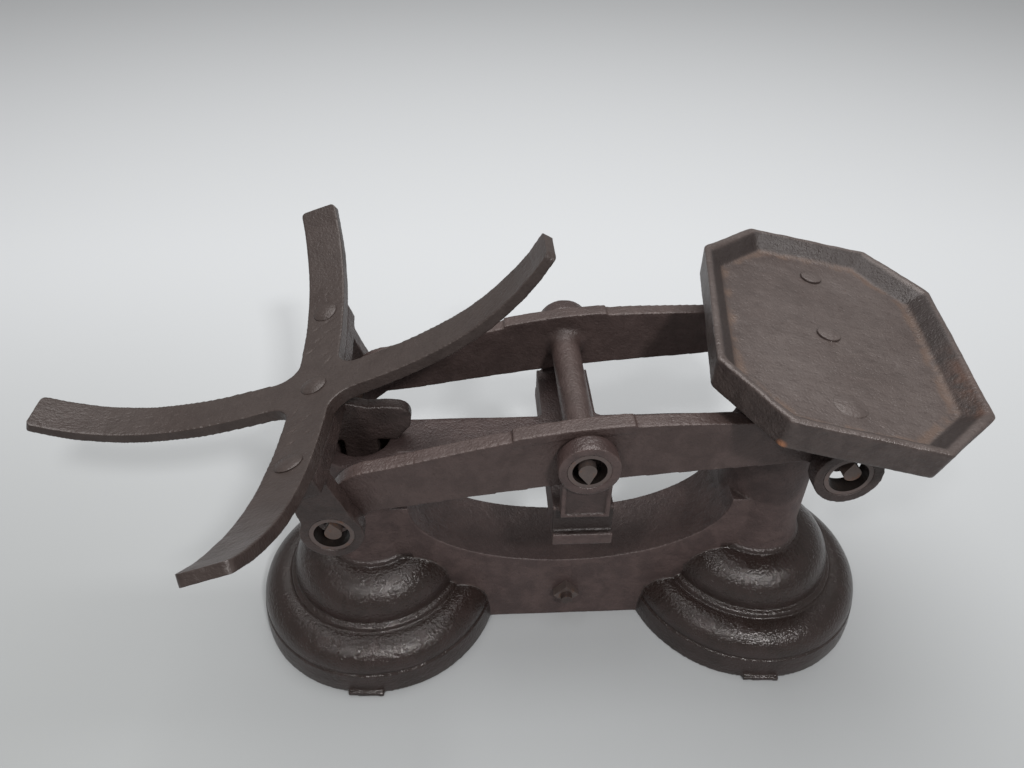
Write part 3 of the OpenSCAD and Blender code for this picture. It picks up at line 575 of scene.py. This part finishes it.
# The top is wavy and the underside finely pitted
def plate_hollows(vertex):
    if vertex.normal.z > 0.5:
        return 0.00022 * noise.noise(vertex.co * 150)
    return 0.0001 * noise.noise(vertex.co * 500)


roughen(plate, 0.0003, 0.00005, 6.0, plate_hollows)
thin_out(plate, 190000)
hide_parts("weights_plate")


# Direction of the cut corners' rim on the floor, and how far beyond the other edges it would lie
cut_across = 0.774
cut_along = 0.633
cut_reach = 0.0168
# Painted shade for the sloping rim
rim_painted_shade = (0.024, 0.017, 0.016)
edge_rust = (0.120, 0.072, 0.048)
end_rust = (0.150, 0.062, 0.032)
fresh_rust = (0.42, 0.17, 0.075)
rusty_corner = (-0.0306, -0.0785, -0.0145)


# Painted shade darkens the sloping rim; rust lies along the edge of the floor, on the right end and at
# one low corner
def plate_stain(place, blotch, base, rough):
    local = place.in_frame(plate_place, plate_turned)
    from_side = local.part("X").size() - (plate_w / 2 - rim_land - rim_slope)
    from_end = local.part("Y").size() - (plate_len / 2 - rim_land - rim_slope)
    from_cut = from_side * cut_across + from_end * cut_along + cut_reach
    outward = from_side.larger(from_end).larger(from_cut)
    height = local.part("Z")
    # The rim's slopes are darkened with painted shade
    slope = outward.ramp(0.0005, 0.002) * outward.ramp(0.0085, 0.0068)
    slope = slope * height.ramp(-0.0095, -0.008)
    base = (slope * 0.85).mix(base, rim_painted_shade)
    rough = rough + slope * 0.06
    ragged = outward + blotch * 0.006 - 0.003
    line = ragged.ramp(-0.0042, -0.0012) * ragged.ramp(0.0022, 0.0002)
    line = line * height.ramp(-0.010, -0.0085) * blotch.ramp(0.36, 0.60) * 0.5
    base = line.mix(base, edge_rust)
    tip = local.part("X").ramp(0.044, 0.058) * local.part("Y").ramp(0.010, -0.02)
    tip = tip * height.ramp(0.0005, -0.0015)
    base = (tip * 0.55 * blotch.ramp(0.33, 0.6)).mix(base, end_rust)
    ends = {0: local, 1: rusty_corner}
    away = local.node("ShaderNodeVectorMath", ends, output=1, operation="DISTANCE")
    base = (away.ramp(0.0042, 0.0018) * 0.85).mix(base, fresh_rust)
    return base, rough + line * 0.25 + tip * 0.15


# The skin of the plate is drawn out from side to side
def plate_streak(place):
    return place.in_frame(plate_place, plate_turned, (2.4, 1, 1))


plate_iron = cast_iron(
    "plate_iron",
    dark=(0.044, 0.030, 0.027), brown=(0.074, 0.054, 0.049),
    top=(0.100, 0.080, 0.074), bare=(0.140, 0.112, 0.103),
    topped=0.8, worn=0.25, rusty=0.3, gloss=0.29, grain=0.6, stain=plate_stain, streak=plate_streak,
)
dress(plate, plate_iron, "weights_carrier")


# Rivets: steel, driven hot through spider and plate into the bars and hammered to low heads.
# Two heads on the plate are still crisp; the others are beaten nearly flat.
shank_radius = 0.0029
shank_length = 0.006


def drive_rivet(place, radius, height, crown):
    bpy.ops.object.select_all(action="DESELECT")
    bpy.ops.mesh.primitive_cylinder_add(
        vertices=16, radius=radius, depth=height, location=(0, 0, height / 2)
    )
    head = bpy.context.active_object
    bpy.ops.object.transform_apply(location=True, rotation=True, scale=True)
    pick_faces(head, lambda face: face.normal.z > 0.9)
    bpy.ops.mesh.inset(thickness=radius * 0.12, depth=crown * 0.3)
    bpy.ops.mesh.inset(thickness=radius * 0.3, depth=crown * 0.45)
    bpy.ops.mesh.inset(thickness=radius * 0.3, depth=crown * 0.25)
    pick_faces(head, lambda face: face.normal.z < -0.9)
    bpy.ops.mesh.inset(thickness=radius * 0.1, depth=0)
    bpy.ops.mesh.inset(thickness=radius * 0.9 - shank_radius, depth=0)
    bpy.ops.mesh.extrude_region_move(TRANSFORM_OT_translate={"value": (0, 0, -shank_length)})
    bpy.ops.object.mode_set(mode="OBJECT")
    smooth = head.modifiers.new("smooth", "SUBSURF")
    smooth.levels = 3
    smooth.render_levels = 3
    apply_modifiers(head)
    head.data.transform(place)
    return head


def join_pieces(pieces, name):
    bpy.ops.object.select_all(action="DESELECT")
    for piece in pieces:
        piece.select_set(True)
    bpy.context.view_layer.objects.active = pieces[0]
    bpy.ops.object.join()
    joined = bpy.context.active_object
    joined.name = name
    return joined


def on_spider(y, height, slope):
    lean = Matrix.Rotation(math.radians(slope), 4, "X")
    return spider_frame @ Matrix.Translation((0, y, height)) @ lean


def on_plate(y, sunk):
    return plate_frame @ Matrix.Translation((0, y, -tray_d - sunk))


goods_rivets = join_pieces([
    drive_rivet(on_spider(0.055, 0.00458, 12.6), 0.0064, 0.0005, 0.0012),
    drive_rivet(on_spider(0, 0, 0), 0.0064, 0.0004, 0.0013),
    drive_rivet(on_spider(-0.055, 0.00373, -10.6), 0.0064, 0.0005, 0.0012),
], "goods_rivets_driven")
weights_rivets = join_pieces([
    drive_rivet(on_plate(0.051, 0.0001), 0.0054, 0.0012, 0.0006),
    drive_rivet(on_plate(0, 0.0001), 0.0056, 0.0013, 0.0006),
    drive_rivet(on_plate(-0.051, 0.0001), 0.0074, 0.0002, 0.0010),
], "weights_rivets_driven")
for rivets, node, body, iron in (
    (goods_rivets, "goods_rivets", "goods_carrier", spider_iron),
    (weights_rivets, "weights_rivets", "weights_carrier", plate_iron),
):
    roughen(rivets, 0.0002, 0.00006, 7.0)
    thin_out(rivets, 60000)
    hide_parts(node)
    dress(rivets, iron, body)


# Stay: a plain forged bar inside the bridge, with an eye at each end and a boss in the middle. It
# rocks on its bolt, and the pins in its eyes keep the carriers' legs upright.
stay_iron = cast_iron(
    "stay_iron",
    dark=(0.040, 0.032, 0.028), brown=(0.062, 0.050, 0.044),
    top=(0.09, 0.075, 0.066), bare=(0.17, 0.14, 0.125),
    topped=0.3, worn=0.3, rusty=0.7, gloss=0.5, grain=1.1,
)
stay = casting("stay_link", beam_level, 0.0006, 60000, 4, 0.0002, 0.0001, 8.0)
dress(stay, stay_iron, "stay")


# Knives and bearing rings: hard steel, filed along the edge and pressed in, tarnished to the brown
# of the castings; the end knives are rusty, and the bores of the rings are darkened with soot and
# painted shade.
def old_steel(name, dark, light, gloss, rusty, metal=0.6, sooty_and_shaded=0.0):
    rubbed_edge_and_highlight = (0.15, 0.12, 0.11)
    rust = (0.15, 0.065, 0.032)
    soot_and_shade = (0.008, 0.006, 0.005)
    material, shader, place, facing, edge = start_material(name)
    marks = place.in_frame((0, 0, 0), (0, 0, 0), (1, 20, 1)).noise(1500, 3, 0.6)
    stain = place.noise(180, 4, 0.6)
    grit = place.noise(900, 3, 0.65)
    base = (stain.ramp(0.35, 0.65) * 0.8 + marks.ramp(0.4, 0.6) * 0.2).mix(dark, light)
    # Edges are lightened with wear and partly with a painted highlight
    base = (edge.ramp(0.53, 0.62) * 0.4).mix(base, rubbed_edge_and_highlight)
    spots = (stain * 0.6 + grit * 0.4).ramp(0.58 - 0.25 * rusty, 0.72 - 0.2 * rusty) * 0.7
    base = spots.mix(base, rust)
    # Faces that don't face along Y, the bores among them, are darkened with soot and painted shade
    bore_shade_and_soot = facing.part("Y").size().ramp(0.7, 0.2) * sooty_and_shaded
    base = bore_shade_and_soot.mix(base, soot_and_shade)
    base.feed(shader, "Base Color")
    rough = gloss + stain.ramp(0.3, 0.7) * 0.15 + spots * 0.2
    rough.feed(shader, "Roughness")
    shader.inputs["Metallic"].default_value = metal
    height = marks * 0.4 + stain * 0.6 + grit * 0.5
    relief = {"Strength": 0.8, "Distance": 0.0004, "Height": height}
    height.node("ShaderNodeBump", relief).feed(shader, "Normal")
    return material


# A small steel node keeps its form; its edges are broken
def finish_node(node, material, width):
    piece = nodes[node]
    piece.data.materials.clear()
    piece.data.materials.append(material)
    bevel = piece.modifiers.new("edges", "BEVEL")
    bevel.width = width
    bevel.segments = 2
    bevel.limit_method = "ANGLE"
    bevel.angle_limit = math.radians(35)


fulcrum_steel = old_steel(
    "fulcrum_steel", (0.050, 0.036, 0.033), (0.085, 0.065, 0.059), gloss=0.36, rusty=0.15, metal=0.3
)
rusty_steel = old_steel(
    "rusty_steel", (0.060, 0.036, 0.028), (0.090, 0.060, 0.048), gloss=0.42, rusty=0.4, metal=0.2
)
ring_steel = old_steel(
    "ring_steel", (0.046, 0.029, 0.027), (0.070, 0.046, 0.042), gloss=0.36, rusty=0.2, metal=0.1,
    sooty_and_shaded=0.9,
)
knife_steel = {"fulcrum": fulcrum_steel, "goods": rusty_steel, "weights": rusty_steel}
for name in knife_steel:
    for place in ("front", "rear"):
        finish_node(name + "_knife_" + place, knife_steel[name], 0.0002)
        finish_node(name + "_bearing_" + place, ring_steel, 0.0003)


# Stay bolt, its square nut, the collars and the leg pins: turned and forged steel, dark with oil.
# A split pin of rusty wire goes through each leg pin.
bolt_steel = old_steel(
    "bolt_steel", (0.030, 0.020, 0.018), (0.056, 0.039, 0.035), gloss=0.27, rusty=0.2, metal=0.15
)
for node in (
    "stay_bolt", "stay_nut", "stay_collar_front", "stay_collar_rear", "goods_leg_pin", "weights_leg_pin"
):
    finish_node(node, bolt_steel, 0.0005)
pin_wire = old_steel(
    "pin_wire", (0.11, 0.06, 0.035), (0.16, 0.10, 0.065), gloss=0.5, rusty=0.6
)
for node in ("goods_cotter", "weights_cotter"):
    finish_node(node, pin_wire, 0.0001)


# Pale floor, just below the feet, a little lighter behind the object and darker on the left with
# painted shade
floor_near = (0.355, 0.367, 0.374)
floor_far = (0.61, 0.628, 0.648)
floor_left_shade = (0.31, 0.32, 0.32)
bpy.ops.object.select_all(action="DESELECT")
bpy.ops.mesh.primitive_plane_add(size=6, location=(0, 0, -0.0002))
floor = bpy.context.active_object
floor.name = "floor"
floor_material, floor_shader, floor_place = start_material("floor")[:3]
far = floor_place.part("Y").ramp(-0.25, 0.45)
left = floor_place.part("X").ramp(0.0, -0.35) * (1 - far) * 0.7
left.mix(far.mix(floor_near, floor_far), floor_left_shade).feed(floor_shader, "Base Color")
floor_shader.inputs["Roughness"].default_value = 0.9
floor.data.materials.append(floor_material)


# Soft studio light: a pale surround, a broad light overhead, and two small ones in front for the shine
lamp_target = Vector((0, 0, 0.05))
world = bpy.data.worlds.new("surround")
world.use_nodes = True
background = world.node_tree.nodes["Background"]
background.inputs["Color"].default_value = (1.0, 0.985, 0.965, 1.0)
background.inputs["Strength"].default_value = 0.32
bpy.context.scene.world = world


def area_light(name, place, width, height, power, colour):
    light = bpy.data.lights.new(name, "AREA")
    light.shape = "RECTANGLE"
    light.size = width
    light.size_y = height
    light.energy = power
    light.color = colour
    light_object = bpy.data.objects.new(name, light)
    bpy.context.scene.collection.objects.link(light_object)
    aim = (lamp_target - Vector(place)).to_track_quat("-Z", "Y")
    light_object.matrix_world = Matrix.Translation(place) @ aim.to_matrix().to_4x4()


area_light("overhead", (0.0, 0.35, 1.6), 1.4, 1.0, 19.5, (1.0, 0.995, 0.985))
area_light("right", (0.40, -1.1, 1.3), 0.16, 0.12, 13, (1.0, 0.99, 0.98))
area_light("left", (-0.6, -1.0, 1.3), 0.14, 0.10, 5, (1.0, 0.99, 0.98))
